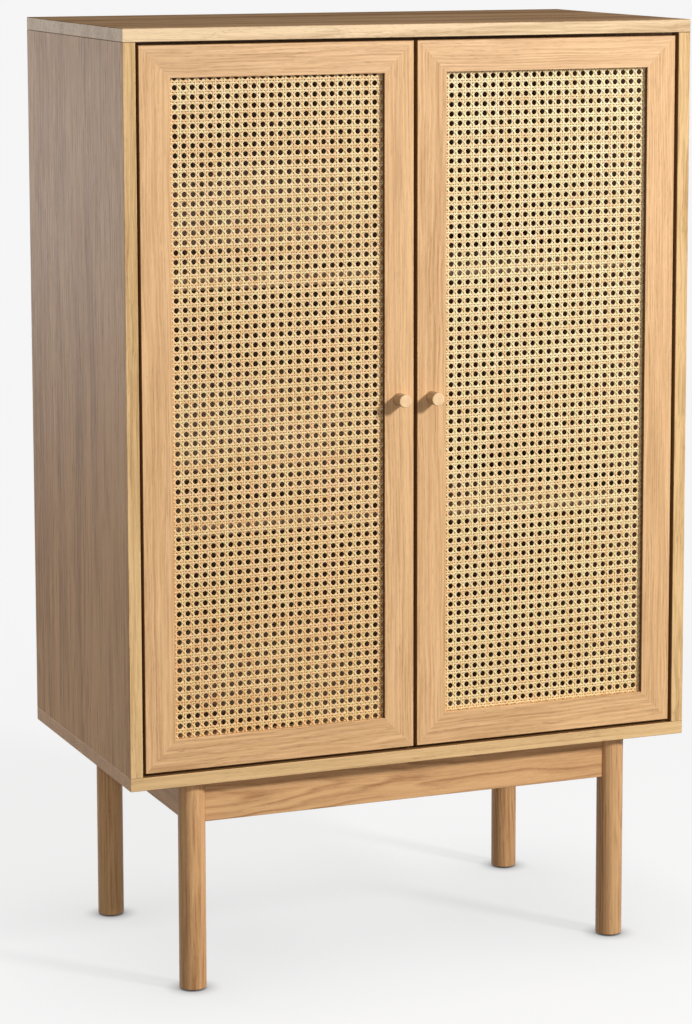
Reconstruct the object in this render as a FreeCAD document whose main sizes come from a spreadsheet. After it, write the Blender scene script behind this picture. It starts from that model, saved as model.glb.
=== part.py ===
"""Record cabinet: an oak carcass on a round-legged base, with two mitred doors filled with woven cane.

The origin is on the floor under the middle of the cabinet. X runs to the right, Y to the back and Z up.
"""
import FreeCAD
import Part
import Sketcher
import os
import re

# Driving sizes in millimetres. Each is named once, and every piece is worked out from them.
SIZES = {
    # Carcass of veneered boards: the top and bottom run over the ends of the sides
    "carcass_width": 840,
    "carcass_depth": 440,
    "total_height": 1330,
    "under_height": 298,
    "board": 18,
    "arris": 0.6,
    # How far a cutting shape runs past the face it cuts, and the play in drilled holes
    "overrun": 2,
    "hole_fit": 0.05,
    "hole_spare": 0.5,
    # Back panel, let into a rebate round the rear of the carcass
    "back_thickness": 5,
    "rebate_width": 8,
    "rebate_depth": 8,
    "back_play": 0.5,
    "back_screw_radius": 1.6,
    "back_screw_length": 18,
    # Knock-down fittings and dowels between the boards
    "cam_radius": 7.5,
    "cam_depth": 12.5,
    "cam_setback": 34,
    "bolt_radius": 3,
    "bolt_thread_radius": 2.5,
    "bolt_thread_length": 11,
    "dowel_radius": 4,
    "dowel_bite": 12,
    "dowel_reach": 18,
    # Two shelves that lie on pegs and part the inside into three equal bays
    "shelf_setback": 12,
    "shelf_play": 2,
    "peg_radius": 2.5,
    "peg_depth": 10,
    "peg_reach": 9,
    "peg_inset": 50,
    "peg_collar_radius": 4.5,
    "peg_collar_thickness": 1.5,
    # Base: round legs with aprons tenoned between them
    "leg_radius": 19,
    "leg_side_inset": 99,
    "leg_end_inset": 35,
    "leg_arris": 1.5,
    "apron_height": 60,
    "apron_thickness": 17,
    "tenon_thickness": 8,
    "tenon_height": 40,
    "tenon_stop": 6,
    "tenon_root": 10,
    "mortise_play": 0.1,
    "mortise_spare": 1,
    "scribe_gap": 0.1,
    "glide_radius": 14,
    "glide_thickness": 2,
    "glide_pin_radius": 1.2,
    "glide_pin_length": 14,
    "bracket_leg": 30,
    "bracket_thickness": 2,
    "bracket_width": 24,
    "bracket_setting": 170,
    "bracket_hole_inset": 19,
    "bracket_screw_radius": 2,
    "bracket_screw_length": 14,
    # Doors: mitred frames set into the carcass
    "door_gap": 4.5,
    "meeting_gap": 5,
    "door_recess": 2,
    "door_thickness": 20,
    "stile_width": 44,
    "key_size": 24,
    "key_thickness": 4,
    "key_play": 0.1,
    # Cane, held in a rebate behind the frame by mitred beads
    "cane_rebate_width": 8,
    "cane_rebate_depth": 14,
    "cane_tuck": 6.5,
    "cane_layer": 1,
    "cane_pitch_across": 12.5,
    "cane_pitch_up": 12.98,
    "cane_pair": 6,
    "bead_play": 0.5,
    # Knobs
    "knob_radius": 9,
    "knob_length": 24,
    "knob_arris": 1.2,
    "knob_screw_radius": 2,
    "knob_screw_bite": 13,
    # Magnetic catches in the front edge of the upper shelf
    "magnet_radius": 4.5,
    "magnet_sunk": 18,
    "catch_air": 0.3,
    "striker_length": 36,
    "striker_width": 12,
    "striker_thickness": 1.2,
    "striker_screw_inset": 6,
    "striker_screw_radius": 1.4,
    "striker_screw_length": 10,
    # Concealed single-pivot hinges
    "hinge_end_inset": 100,
    "hinge_edge_inset": 16,
    "hinge_front_inset": 11,
    "hinge_pin_radius": 1.5,
    "hinge_pin_length": 23,
    "hinge_running": 0.05,
    "cup_edge_inset": 20,
    "cup_radius": 13,
    "cup_depth": 14,
    "cup_wall": 1.5,
    "flange_width": 16,
    "flange_height": 54,
    "flange_thickness": 1.2,
    "cup_screw_spacing": 42,
    "cup_screw_radius": 1.6,
    "cup_screw_length": 11,
    "eye_radius": 3,
    "arm_strap": 2,
    "arm_lift": 0.6,
    "arm_throat": 13,
    "arm_neck": 23,
    "arm_reach": 64,
    "arm_width": 10,
    "arm_bend": 1,
    "plate_thickness": 3,
    "plate_height": 46,
    "plate_start": 34,
    "plate_end": 66,
    "plate_screw_setback": 46,
    "plate_screw_spacing": 32,
    "plate_screw_radius": 2,
    "plate_screw_length": 14,
    "clamp_setback": 57,
    "clamp_screw_radius": 2,
    "clamp_screw_length": 4.6,
}

# Places along a board as shares of its depth, height or width
CAM_DEPTH_SHARES = (0.18, 0.82)
DOWEL_DEPTH_SHARE = 0.5
BACK_SCREW_RISE_SHARES = (0.06, 0.5, 0.94)
BACK_SCREW_SPAN_SHARES = (0.25, 0.75)
# A screw's head as shares of its shank's radius
SCREW_HEAD_SHARE = 1.9
SCREW_RISE_SHARE = 1.0

# Two coordinates closer than this are the same
SAME = 1e-6

# Small hidden fittings and their holes have a few flat sides in place of a true round
FASTENER_SIDES = 6
FITTING_SIDES = 12
CUP_SIDES = 24

SIDES = {"left": -1, "right": 1}
ROW_ENDS = {"front": 1, "rear": -1}

doc = FreeCAD.newDocument("record_cabinet")
sheet = doc.addObject("Spreadsheet::Sheet", "Sizes")
for row, (size_name, size_value) in enumerate(SIZES.items(), start=1):
    sheet.set(f"A{row}", size_name)
    sheet.set(f"B{row}", str(size_value))
    sheet.setAlias(f"B{row}", size_name)
doc.recompute()

# Planes and distances that several pieces share, written in the named sizes
front = "((knob_length - door_recess - carcass_depth) / 2)"
back = f"({front} + carcass_depth)"
half_width = "(carcass_width / 2)"
inner_half = "(carcass_width / 2 - board)"
floor_top = "(under_height + board)"
ceiling = "(total_height - board)"
rebate_face = f"({back} - rebate_depth)"
bay = f"(({ceiling} - {floor_top} - 2 * board) / 3)"
leg_out = f"({half_width} - leg_side_inset)"
leg_rows = {"front": f"({front} + leg_end_inset)", "rear": f"({back} - leg_end_inset)"}
door_front = f"({front} + door_recess)"
door_back = f"({door_front} + door_thickness)"
door_low = f"({floor_top} + door_gap)"
door_high = f"({ceiling} - door_gap)"
door_outer = f"({inner_half} - door_gap)"
door_inner = "(meeting_gap / 2)"
door_middle = f"(({door_low} + {door_high}) / 2)"
cane_front = f"({door_back} - cane_rebate_depth)"
shelf_front = f"({door_back} + shelf_setback)"
shelf_lows = {"lower": f"({floor_top} + {bay})", "upper": f"({floor_top} + 2 * {bay} + board)"}
catch_height = f"({shelf_lows['upper']} + board / 2)"
hinge_line = f"({door_outer} - hinge_edge_inset)"
hinge_depth = f"({door_front} + hinge_front_inset)"
hinge_heights = {"lower": f"({door_low} + hinge_end_inset)", "upper": f"({door_high} - hinge_end_inset)"}
meeting_line = f"({door_inner} + stile_width / 2)"

sub_parts = []
cutters = {}


def cells(text):
    """An expression in size names, with each name pointing at its cell."""
    return re.sub(r"[a-z_]+", lambda word: f"Sizes.{word[0]}" if word[0] in SIZES else word[0], text)


def bind(thing, path, text):
    thing.setExpression(path, cells(text))


def measure(text):
    """The value of an expression in size names."""
    return float(sheet.evalExpression(cells(text)))


def place(thing, spot):
    for axis, text in zip("xyz", spot):
        bind(thing, f"Placement.Base.{axis}", text)


def finish(thing, label):
    """Names a finished sub-part, which is then written to a file of that name."""
    thing.Label = label
    sub_parts.append(thing)
    return thing


def span(side, near, far):
    """The X range between two distances from the middle, on one side of it."""
    return (near, far) if side > 0 else (f"-({far})", f"-({near})")


def about(centre, width):
    return f"({centre}) - ({width}) / 2", f"({centre}) + ({width}) / 2"


def box(name, x_range, y_range, z_range):
    block = doc.addObject("Part::Box", name)
    for path, (low, high) in zip(("Length", "Width", "Height"), (x_range, y_range, z_range)):
        bind(block, path, f"({high}) - ({low})")
    place(block, (x_range[0], y_range[0], z_range[0]))
    return block


HEADINGS = {
    "+x": FreeCAD.Vector(1, 0, 0),
    "-x": FreeCAD.Vector(-1, 0, 0),
    "+y": FreeCAD.Vector(0, 1, 0),
    "-y": FreeCAD.Vector(0, -1, 0),
    "+z": FreeCAD.Vector(0, 0, 1),
    "-z": FreeCAD.Vector(0, 0, -1),
}


def rod(name, start, heading, radius, length, sides=None):
    """A bar from a start point along one of the six headings: round, or with a number of flat sides."""
    bar = doc.addObject("Part::Prism" if sides else "Part::Cylinder", name)
    if sides:
        bar.Polygon = sides
    bind(bar, "Circumradius" if sides else "Radius", radius)
    bind(bar, "Height", length)
    turn = FreeCAD.Rotation(HEADINGS["+z"], HEADINGS[heading])
    bar.Placement = FreeCAD.Placement(FreeCAD.Vector(), turn)
    place(bar, start)
    return bar


def moved(start, heading, distance):
    """A point moved along a heading."""
    spot = list(start)
    axis = "xyz".index(heading[1])
    spot[axis] = f"{spot[axis]} {heading[0]} ({distance})"
    return tuple(spot)


def opposite(heading):
    return ("-" if heading[0] == "+" else "+") + heading[1]


def fused(name, things):
    if len(things) == 1:
        return things[0]
    union = doc.addObject("Part::MultiFuse", name)
    union.Shapes = things
    return union


def cut(name, blank, tools):
    difference = doc.addObject("Part::Cut", name)
    difference.Base = blank
    difference.Tool = fused(f"{name}_tools", tools)
    return difference


def grouped(label, things):
    """Like pieces that share one sub-part, each a solid of its own."""
    group = doc.addObject("Part::Compound", label)
    group.Links = things
    return finish(group, label)


def drill(board_name, start, heading, radius, depth, sides=FASTENER_SIDES):
    """Notes a hole to be bored in a board, from just outside its face to the given depth."""
    entry = moved(start, opposite(heading), "overrun")
    hole = rod(f"{board_name}_hole", entry, heading, f"{radius} + hole_fit", f"{depth} + overrun", sides)
    cutters.setdefault(board_name, []).append(hole)


def notch(board_name, tool):
    cutters.setdefault(board_name, []).append(tool)


def bored(label, blank):
    """The finished board, with every hole and notch noted for it."""
    tools = cutters.get(label)
    return finish(cut(label, blank, tools) if tools else blank, label)


def screw(name, seat, heading, kind):
    """A pan-head screw whose head sits at the seat; its sizes carry the name of its kind."""
    radius = f"{kind}_radius"
    rise = f"{radius} * {SCREW_RISE_SHARE}"
    wide = f"{radius} * {SCREW_HEAD_SHARE}"
    head = rod(f"{name}_head", seat, opposite(heading), wide, rise, FASTENER_SIDES)
    shank = rod(f"{name}_shank", seat, heading, radius, f"{kind}_length", FASTENER_SIDES)
    return fused(name, [head, shank])


def new_body(name):
    return doc.addObject("PartDesign::Body", name)


def new_sketch(body, name, plane):
    sketch = body.newObject("Sketcher::SketchObject", name)
    base = next(item for item in body.Origin.OriginFeatures if item.Role == plane)
    sketch.AttachmentSupport = [(base, "")]
    sketch.MapMode = "FlatFace"
    return sketch


def polygon(body, name, plane, corners):
    """A closed outline whose corners are held at the given expressions."""
    sketch = new_sketch(body, name, plane)
    points = [FreeCAD.Vector(measure(across), measure(up), 0) for across, up in corners]
    count = len(points)
    for index in range(count):
        sketch.addGeometry(Part.LineSegment(points[index], points[(index + 1) % count]), False)
    for index in range(count):
        sketch.addConstraint(Sketcher.Constraint("Coincident", index, 2, (index + 1) % count, 1))
    for index, (across, up) in enumerate(corners):
        hold(sketch, "DistanceX", index, 1, points[index].x, across)
        hold(sketch, "DistanceY", index, 1, points[index].y, up)
    return sketch


def hold(sketch, kind, geometry, point, start, text):
    """Holds a point of a sketch at a distance from the sketch's origin."""
    if text == "0":
        axis = -2 if kind == "DistanceX" else -1
        sketch.addConstraint(Sketcher.Constraint("PointOnObject", geometry, point, axis))
        return
    number = sketch.addConstraint(Sketcher.Constraint(kind, -1, 1, geometry, point, start))
    bind(sketch, f"Constraints[{number}]", text)


def disc(body, name, plane, radius):
    """A circle about the sketch's origin."""
    sketch = new_sketch(body, name, plane)
    sketch.addGeometry(Part.Circle(FreeCAD.Vector(), HEADINGS["+z"], measure(radius)), False)
    sketch.addConstraint(Sketcher.Constraint("Coincident", 0, 3, -1, 1))
    number = sketch.addConstraint(Sketcher.Constraint("Radius", 0, measure(radius)))
    bind(sketch, f"Constraints[{number}]", radius)
    return sketch


def pad(body, name, outline, length, reverse=False, middle=False):
    block = body.newObject("PartDesign::Pad", name)
    block.Profile = outline
    block.Reversed = reverse
    block.Midplane = middle
    bind(block, "Length", length)
    body.Tip = block
    doc.recompute()
    return block


def ease(body, name, base, wanted, size):
    """Eases the edges of a feature for which the test holds."""
    names = [f"Edge{n}" for n, edge in enumerate(base.Shape.Edges, start=1) if wanted(edge)]
    eased = body.newObject("PartDesign::Chamfer", name)
    eased.Base = (base, names)
    bind(eased, "Size", size)
    body.Tip = eased
    doc.recompute()
    return eased


def board_blank(name, x_range, y_range, z_range):
    """A board with all its edges eased."""
    body = new_body(name)
    x_size, y_size, z_size = (f"({high}) - ({low})" for low, high in (x_range, y_range, z_range))
    corners = [("0", "0"), (x_size, "0"), (x_size, y_size), ("0", y_size)]
    block = pad(body, f"{name}_pad", polygon(body, f"{name}_outline", "XY_Plane", corners), z_size)
    ease(body, f"{name}_arris", block, lambda edge: True, "arris")
    place(body, (x_range[0], y_range[0], z_range[0]))
    return body


def carcass_boards():
    """Blanks of the carcass boards and the rebate for the back panel."""
    whole = (f"-{half_width}", half_width)
    depth = (front, back)
    blanks = {
        "top_panel": board_blank("top_blank", whole, depth, (ceiling, "total_height")),
        "bottom_panel": board_blank("bottom_blank", whole, depth, ("under_height", floor_top)),
    }
    for name, side in SIDES.items():
        across = span(side, inner_half, half_width)
        blanks[f"{name}_side_panel"] = board_blank(f"{name}_side_blank", across, depth, (floor_top, ceiling))
    lap = f"({inner_half} + rebate_width)"
    rebate = box(
        "rear_rebate",
        (f"-{lap}", lap),
        (rebate_face, f"{back} + overrun"),
        (f"{floor_top} - rebate_width", f"{ceiling} + rebate_width"),
    )
    for name in blanks:
        notch(name, rebate)
    return blanks


def knock_down_fittings():
    """Cams and bolts that draw the boards together, and a dowel that lines up each joint."""
    cams, bolts, dowels = [], [], []
    for name, side in SIDES.items():
        side_board = f"{name}_side_panel"
        outward = "+x" if side > 0 else "-x"
        edge_middle = f"{side} * ({half_width} - board / 2)"
        inner_face = f"{side} * {inner_half}"
        for cap, edge, down in (("top_panel", ceiling, "-z"), ("bottom_panel", floor_top, "+z")):
            up = opposite(down)
            for share in CAM_DEPTH_SHARES:
                depth = f"({front} + carcass_depth * {share})"
                seam = (edge_middle, depth, edge)
                heart = moved((inner_face, depth, edge), down, "cam_setback")
                drill(side_board, heart, outward, "cam_radius", "cam_depth", FITTING_SIDES)
                drill(side_board, seam, down, "bolt_radius", "cam_setback")
                drill(cap, seam, up, "bolt_thread_radius", "bolt_thread_length + hole_spare")
                drum = rod("cam_drum", heart, outward, "cam_radius", "cam_depth", FITTING_SIDES)
                mouth = rod("cam_mouth", seam, down, "bolt_radius + hole_fit", "cam_setback + hole_spare",
                            FASTENER_SIDES)
                cams.append(cut("cam_lock", drum, [mouth]))
                stem = rod("bolt_stem", seam, down, "bolt_radius", "cam_setback", FASTENER_SIDES)
                thread = rod("bolt_thread", seam, up, "bolt_thread_radius", "bolt_thread_length",
                             FASTENER_SIDES)
                bolts.append(fused("cam_bolt", [stem, thread]))
            seam = (edge_middle, f"({front} + carcass_depth * {DOWEL_DEPTH_SHARE})", edge)
            drill(side_board, seam, down, "dowel_radius", "dowel_reach + hole_spare")
            drill(cap, seam, up, "dowel_radius", "dowel_bite + hole_spare")
            foot = moved(seam, down, "dowel_reach")
            length = "dowel_reach + dowel_bite"
            dowels.append(rod("carcass_dowel", foot, up, "dowel_radius", length, FASTENER_SIDES))
    grouped("cam_locks", cams)
    grouped("cam_bolts", bolts)
    grouped("carcass_dowels", dowels)


def back_panel():
    """Thin panel let into the rear rebate and screwed to its shoulder."""
    lap = f"({inner_half} + rebate_width - back_play)"
    low = f"({floor_top} - rebate_width + back_play)"
    high = f"({ceiling} + rebate_width - back_play)"
    outside = f"({rebate_face} + back_thickness)"
    panel = box("back_blank", (f"-{lap}", lap), (rebate_face, outside), (low, high))
    spots = []
    for name, side in SIDES.items():
        line = f"{side} * ({inner_half} + rebate_width / 2)"
        for share in BACK_SCREW_RISE_SHARES:
            spots.append((f"{name}_side_panel", line, f"{low} + ({high} - {low}) * {share}"))
    for name, line in (("top_panel", f"{ceiling} + rebate_width / 2"),
                       ("bottom_panel", f"{floor_top} - rebate_width / 2")):
        for share in BACK_SCREW_SPAN_SHARES:
            spots.append((name, f"-{lap} + 2 * {lap} * {share}", line))
    screws = []
    for name, across, up in spots:
        seat = (across, outside, up)
        drill("back_panel", seat, "-y", "back_screw_radius", "back_thickness + overrun")
        drill(name, seat, "-y", "back_screw_radius", "back_screw_length + hole_spare")
        screws.append(screw("back_screw", seat, "-y", "back_screw"))
    bored("back_panel", panel)
    grouped("back_panel_screws", screws)


def shelves():
    """Two shelves on pegs, with the catch magnets let into the upper one's front edge."""
    reach = f"({inner_half} - shelf_play)"
    shelf_back = f"({rebate_face} - back_play)"
    pegs, magnets = [], []
    for level, low in shelf_lows.items():
        label = f"{level}_shelf"
        high = f"{low} + board"
        blank = board_blank(f"{label}_blank", (f"-{reach}", reach), (shelf_front, shelf_back), (low, high))
        for name, side in SIDES.items():
            outward = "+x" if side > 0 else "-x"
            for depth in (f"{shelf_front} + peg_inset", f"{shelf_back} - peg_inset"):
                face = (f"{side} * {inner_half}", depth, f"{low} - peg_radius")
                drill(f"{name}_side_panel", face, outward, "peg_radius", "peg_depth + hole_spare")
                inward = opposite(outward)
                tip = moved(face, inward, "peg_reach")
                stem = rod("peg_stem", tip, outward, "peg_radius", "peg_reach + peg_depth", FASTENER_SIDES)
                collar = rod("peg_collar", face, inward, "peg_collar_radius", "peg_collar_thickness",
                             FASTENER_SIDES)
                pegs.append(fused("shelf_peg", [stem, collar]))
            if level == "upper":
                edge = (f"{side} * {meeting_line}", shelf_front, catch_height)
                drill(label, edge, "+y", "magnet_radius", "magnet_sunk + hole_spare", FITTING_SIDES)
                proud = "(shelf_setback - striker_thickness - catch_air)"
                nose = moved(edge, "-y", proud)
                length = f"{proud} + magnet_sunk"
                magnets.append(rod("magnet", nose, "+y", "magnet_radius", length, FITTING_SIDES))
        bored(label, blank)
    grouped("shelf_pegs", pegs)
    grouped("catch_magnets", magnets)


def leg(row_name, side_name):
    """A round leg, mortised for its two aprons and bored for its glide."""
    label = f"{row_name}_{side_name}_leg"
    body = new_body(f"{label}_blank")
    foot = "glide_thickness"
    corners = [
        ("0", foot),
        ("leg_radius - leg_arris", foot),
        ("leg_radius", f"{foot} + leg_arris"),
        ("leg_radius", "under_height"),
        ("0", "under_height"),
    ]
    profile = polygon(body, f"{label}_profile", "XZ_Plane", corners)
    turned = body.newObject("PartDesign::Revolution", f"{label}_turning")
    turned.Profile = profile
    turned.ReferenceAxis = (profile, ["V_Axis"])
    turned.Angle = 360
    body.Tip = turned
    centre = (f"{SIDES[side_name]} * {leg_out}", leg_rows[row_name])
    place(body, (*centre, "0"))
    drill(label, (*centre, foot), "+z", "glide_pin_radius", "glide_pin_length + hole_spare")
    thick = "tenon_thickness + 2 * mortise_play"
    tall = about("(under_height - apron_height / 2)", "tenon_height + 2 * mortise_play")
    inner, outer = "tenon_stop - mortise_spare", "leg_radius + overrun"
    along = span(-SIDES[side_name], inner, outer)
    notch(label, box(f"{label}_cheek", shifted(centre[0], along), about(centre[1], thick), tall))
    along = span(ROW_ENDS[row_name], inner, outer)
    notch(label, box(f"{label}_mortise", about(centre[0], thick), shifted(centre[1], along), tall))
    bored(label, body)
    pad_disc = rod("glide_disc", (*centre, "0"), "+z", "glide_radius", foot, FITTING_SIDES)
    pin = rod("glide_pin", (*centre, foot), "+z", "glide_pin_radius", "glide_pin_length", FASTENER_SIDES)
    return fused("leg_glide", [pad_disc, pin])


def shifted(centre, ends):
    return f"{centre} + ({ends[0]})", f"{centre} + ({ends[1]})"


def apron(label, along, start, end, line):
    """A rail between two legs, scribed to their rounds and tenoned into them.

    It runs along X or Y from one leg's axis to the other's, with its middle on a line across.
    """
    def ordered(run, across, up):
        return (run, across, up) if along == "x" else (across, run, up)

    low = "(under_height - apron_height)"
    thick = about(line, "apron_thickness")
    blank = board_blank(f"{label}_blank", *ordered((start, end), thick, (low, "under_height")))
    rounds, tenons = [], []
    for axis, inward in ((start, "+"), (end, "-")):
        spot = ordered(axis, line, f"{low} - overrun")
        rounds.append(rod("scribe", spot, "+z", "leg_radius + scribe_gap", "apron_height + 2 * overrun"))
        run = [f"{axis} {inward} tenon_stop", f"{axis} {inward} (leg_radius + tenon_root)"]
        if inward == "-":
            run.reverse()
        section = about(line, "tenon_thickness")
        tall = about(f"{low} + apron_height / 2", "tenon_height")
        tenons.append(box("tenon", *ordered(tuple(run), section, tall)))
    return fused(label, [cut(f"{label}_scribed", blank, rounds), *tenons])


def bracket(row_name, side):
    """A steel angle that screws an apron to the bottom panel, with its two screws."""
    inward = ROW_ENDS[row_name]
    face = f"({leg_rows[row_name]} + {inward} * apron_thickness / 2)"
    across = f"{side} * bracket_setting"
    body = new_body("bracket_blank")
    far, thick = f"{inward} * bracket_leg", f"{inward} * bracket_thickness"
    corners = [
        ("0", "0"),
        (far, "0"),
        (far, "-bracket_thickness"),
        (thick, "-bracket_thickness"),
        (thick, "-bracket_leg"),
        ("0", "-bracket_leg"),
    ]
    outline = polygon(body, "bracket_outline", "YZ_Plane", corners)
    pad(body, "bracket_pad", outline, "bracket_width", middle=True)
    place(body, (across, face, "under_height"))
    into_apron = "-y" if inward > 0 else "+y"
    upper = (across, f"{face} + {inward} * bracket_hole_inset", "under_height - bracket_thickness")
    lower = (across, f"{face} + {inward} * bracket_thickness", "under_height - bracket_hole_inset")
    depth = "bracket_screw_length + hole_spare"
    drill("bottom_panel", upper, "+z", "bracket_screw_radius", depth)
    drill(f"{row_name}_apron", lower, into_apron, "bracket_screw_radius", depth)
    holes, screws = [], []
    for seat, heading in ((upper, "+z"), (lower, into_apron)):
        entry = moved(seat, opposite(heading), "overrun")
        holes.append(rod("bracket_hole", entry, heading, "bracket_screw_radius + hole_fit", "bracket_leg",
                         FASTENER_SIDES))
        screws.append(screw("bracket_screw", seat, heading, "bracket_screw"))
    return cut("bracket", body, holes), screws


def base():
    """Legs, aprons, glides and the brackets that hold the base under the carcass."""
    glides, brackets, screws = [], [], []
    for row_name in ROW_ENDS:
        for side_name, side in SIDES.items():
            glides.append(leg(row_name, side_name))
            angle, pair = bracket(row_name, side)
            brackets.append(angle)
            screws += pair
    for row_name, line in leg_rows.items():
        rail = apron(f"{row_name}_rail", "x", f"-{leg_out}", leg_out, line)
        bored(f"{row_name}_apron", rail)
    for side_name, side in SIDES.items():
        rail = apron(f"{side_name}_rail", "y", leg_rows["front"], leg_rows["rear"], f"{side} * {leg_out}")
        finish(rail, f"{side_name}_apron")
    grouped("leg_glides", glides)
    grouped("base_brackets", brackets)
    grouped("base_bracket_screws", screws)


def mitred_strip(name, side, edge, inset, width, y_low, thickness):
    """One side of a mitred frame that lies a given inset inside the door's outline."""
    near, far = f"({door_inner} + {inset})", f"({door_outer} - ({inset}))"
    low, high = f"({door_low} + {inset})", f"({door_high} - ({inset}))"
    outer = {"hinge": (far, far), "meeting": (near, near), "top": (near, far), "bottom": (near, far)}[edge]
    step = {"hinge": "-", "meeting": "+"}
    if edge in step:
        inner = f"{outer[0]} {step[edge]} {width}"
        corners = [(outer[0], low), (outer[0], high),
                   (inner, f"{high} - {width}"), (inner, f"{low} + {width}")]
    else:
        line, sign = (high, "-") if edge == "top" else (low, "+")
        inner = f"{line} {sign} {width}"
        corners = [(near, line), (far, line), (f"{far} - {width}", inner), (f"{near} + {width}", inner)]
    body = new_body(name)
    outline = polygon(body, f"{name}_outline", "XZ_Plane", [(f"{side} * ({x})", z) for x, z in corners])
    block = pad(body, f"{name}_pad", outline, thickness, reverse=True)
    place(body, ("0", y_low, "0"))
    run = "z" if edge in step else "x"

    def front_run(edge_line):
        low_point, high_point = (vertex.Point for vertex in edge_line.Vertexes)
        same = [abs(getattr(low_point, axis) - getattr(high_point, axis)) < SAME for axis in "xyz"]
        level = same["xyz".index("z" if run == "x" else "x")]
        return level and max(abs(low_point.y), abs(high_point.y)) < SAME

    return body, block, front_run


def mitre_key(name, corner, play):
    """A square key across a mitre, or the slot for it when it is given some play."""
    across, through, up = corner
    square = f"key_size + {play}"
    return box(name, about(across, square), about(through, f"key_thickness + {play}"), about(up, square))


def door_frame(name, side):
    """The four mitred members of a door, keyed at their corners and rebated behind for the cane."""
    keys = []
    middle = f"({door_front} + door_thickness / 2)"
    stiles = {"meeting_stile": meeting_line, "hinge_stile": f"({door_outer} - stile_width / 2)"}
    rails = {"bottom_rail": f"({door_low} + stile_width / 2)", "top_rail": f"({door_high} - stile_width / 2)"}
    for stile, line in stiles.items():
        for rail, height in rails.items():
            corner = (f"{side} * {line}", middle, height)
            keys.append(mitre_key("mitre_key", corner, "0"))
            slot = mitre_key("key_slot", corner, "2 * key_play")
            notch(f"{name}_{rail}", slot)
            notch(f"{name}_{stile}", slot)
    grouped(f"{name}_mitre_keys", keys)
    inset = "(stile_width - cane_rebate_width)"
    rebate = box(
        f"{name}_cane_rebate",
        span(side, f"{door_inner} + {inset}", f"{door_outer} - {inset}"),
        (cane_front, f"{door_back} + overrun"),
        (f"{door_low} + {inset}", f"{door_high} - {inset}"),
    )
    for edge, member in (("hinge", "hinge_stile"), ("meeting", "meeting_stile"),
                         ("top", "top_rail"), ("bottom", "bottom_rail")):
        label = f"{name}_{member}"
        body, block, front_run = mitred_strip(
            f"{label}_blank", side, edge, "0", "stile_width", door_front, "door_thickness")
        ease(body, f"{label}_arris", block, front_run, "arris")
        notch(label, rebate)
        bored(label, body)


def cane_beads(name, side):
    """Mitred beads that hold the cane's edges in the rebate."""
    inset = "(stile_width - cane_rebate_width + bead_play)"
    width = "(cane_rebate_width - bead_play)"
    y_low = f"{cane_front} + 2 * cane_layer"
    thickness = "cane_rebate_depth - 2 * cane_layer"
    beads = []
    for edge in ("hinge", "meeting", "top", "bottom"):
        body, _, _ = mitred_strip(f"{name}_{edge}_bead", side, edge, inset, width, y_low, thickness)
        beads.append(body)
    grouped(f"{name}_cane_beads", beads)


def cane_layer(name, side, direction, y_low):
    """One layer of the cane: a sheet slotted between its pairs of strands."""
    wide = f"({door_outer} - {door_inner} - 2 * stile_width)"
    tall = f"({door_high} - {door_low} - 2 * stile_width)"
    sheet_half = (f"({wide} / 2 + cane_tuck)", f"({tall} / 2 + cane_tuck)")
    across = direction == "uprights"
    pitch = "cane_pitch_across" if across else "cane_pitch_up"
    run = wide if across else tall
    count = f"floor({run} / {pitch})"
    first = f"({count} - 1) * {pitch} / 2"
    slot = f"({pitch} - cane_pair) / 2"
    body = new_body(f"{name}_{direction}")
    whole = [(f"-{sheet_half[0]}", f"-{sheet_half[1]}"), (sheet_half[0], f"-{sheet_half[1]}"),
             sheet_half, (f"-{sheet_half[0]}", sheet_half[1])]
    pad(body, "cane_sheet", polygon(body, "cane_outline", "XZ_Plane", whole), "cane_layer", reverse=True)
    low, high = f"-({first}) - {slot}", f"-({first}) + {slot}"
    end = f"({tall if across else wide} / 2)"
    ends = (f"-{end}", end)
    if across:
        corners = [(low, ends[0]), (high, ends[0]), (high, ends[1]), (low, ends[1])]
    else:
        corners = [(ends[0], low), (ends[1], low), (ends[1], high), (ends[0], high)]
    outline = polygon(body, "cane_slot_outline", "XZ_Plane", corners)
    gap = body.newObject("PartDesign::Pocket", "cane_slot")
    gap.Profile = outline
    gap.Type = "ThroughAll"
    gap.Midplane = True
    row_of_gaps = body.newObject("PartDesign::LinearPattern", "cane_slots")
    row_of_gaps.Originals = [gap]
    row_of_gaps.Direction = (outline, ["H_Axis" if across else "V_Axis"])
    row_of_gaps.Mode = "Spacing"
    bind(row_of_gaps, "Offset", pitch)
    bind(row_of_gaps, "Occurrences", count)
    body.Tip = row_of_gaps
    place(body, (f"{side} * ({door_inner} + {door_outer}) / 2", y_low, door_middle))
    return body


def cane_panel(name, side):
    """The cane as two crossing layers of paired strands, which leave an open lattice."""
    uprights = cane_layer(name, side, "uprights", cane_front)
    crosses = cane_layer(name, side, "crosses", f"{cane_front} + cane_layer")
    grouped(f"{name}_cane_panel", [uprights, crosses])


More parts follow.
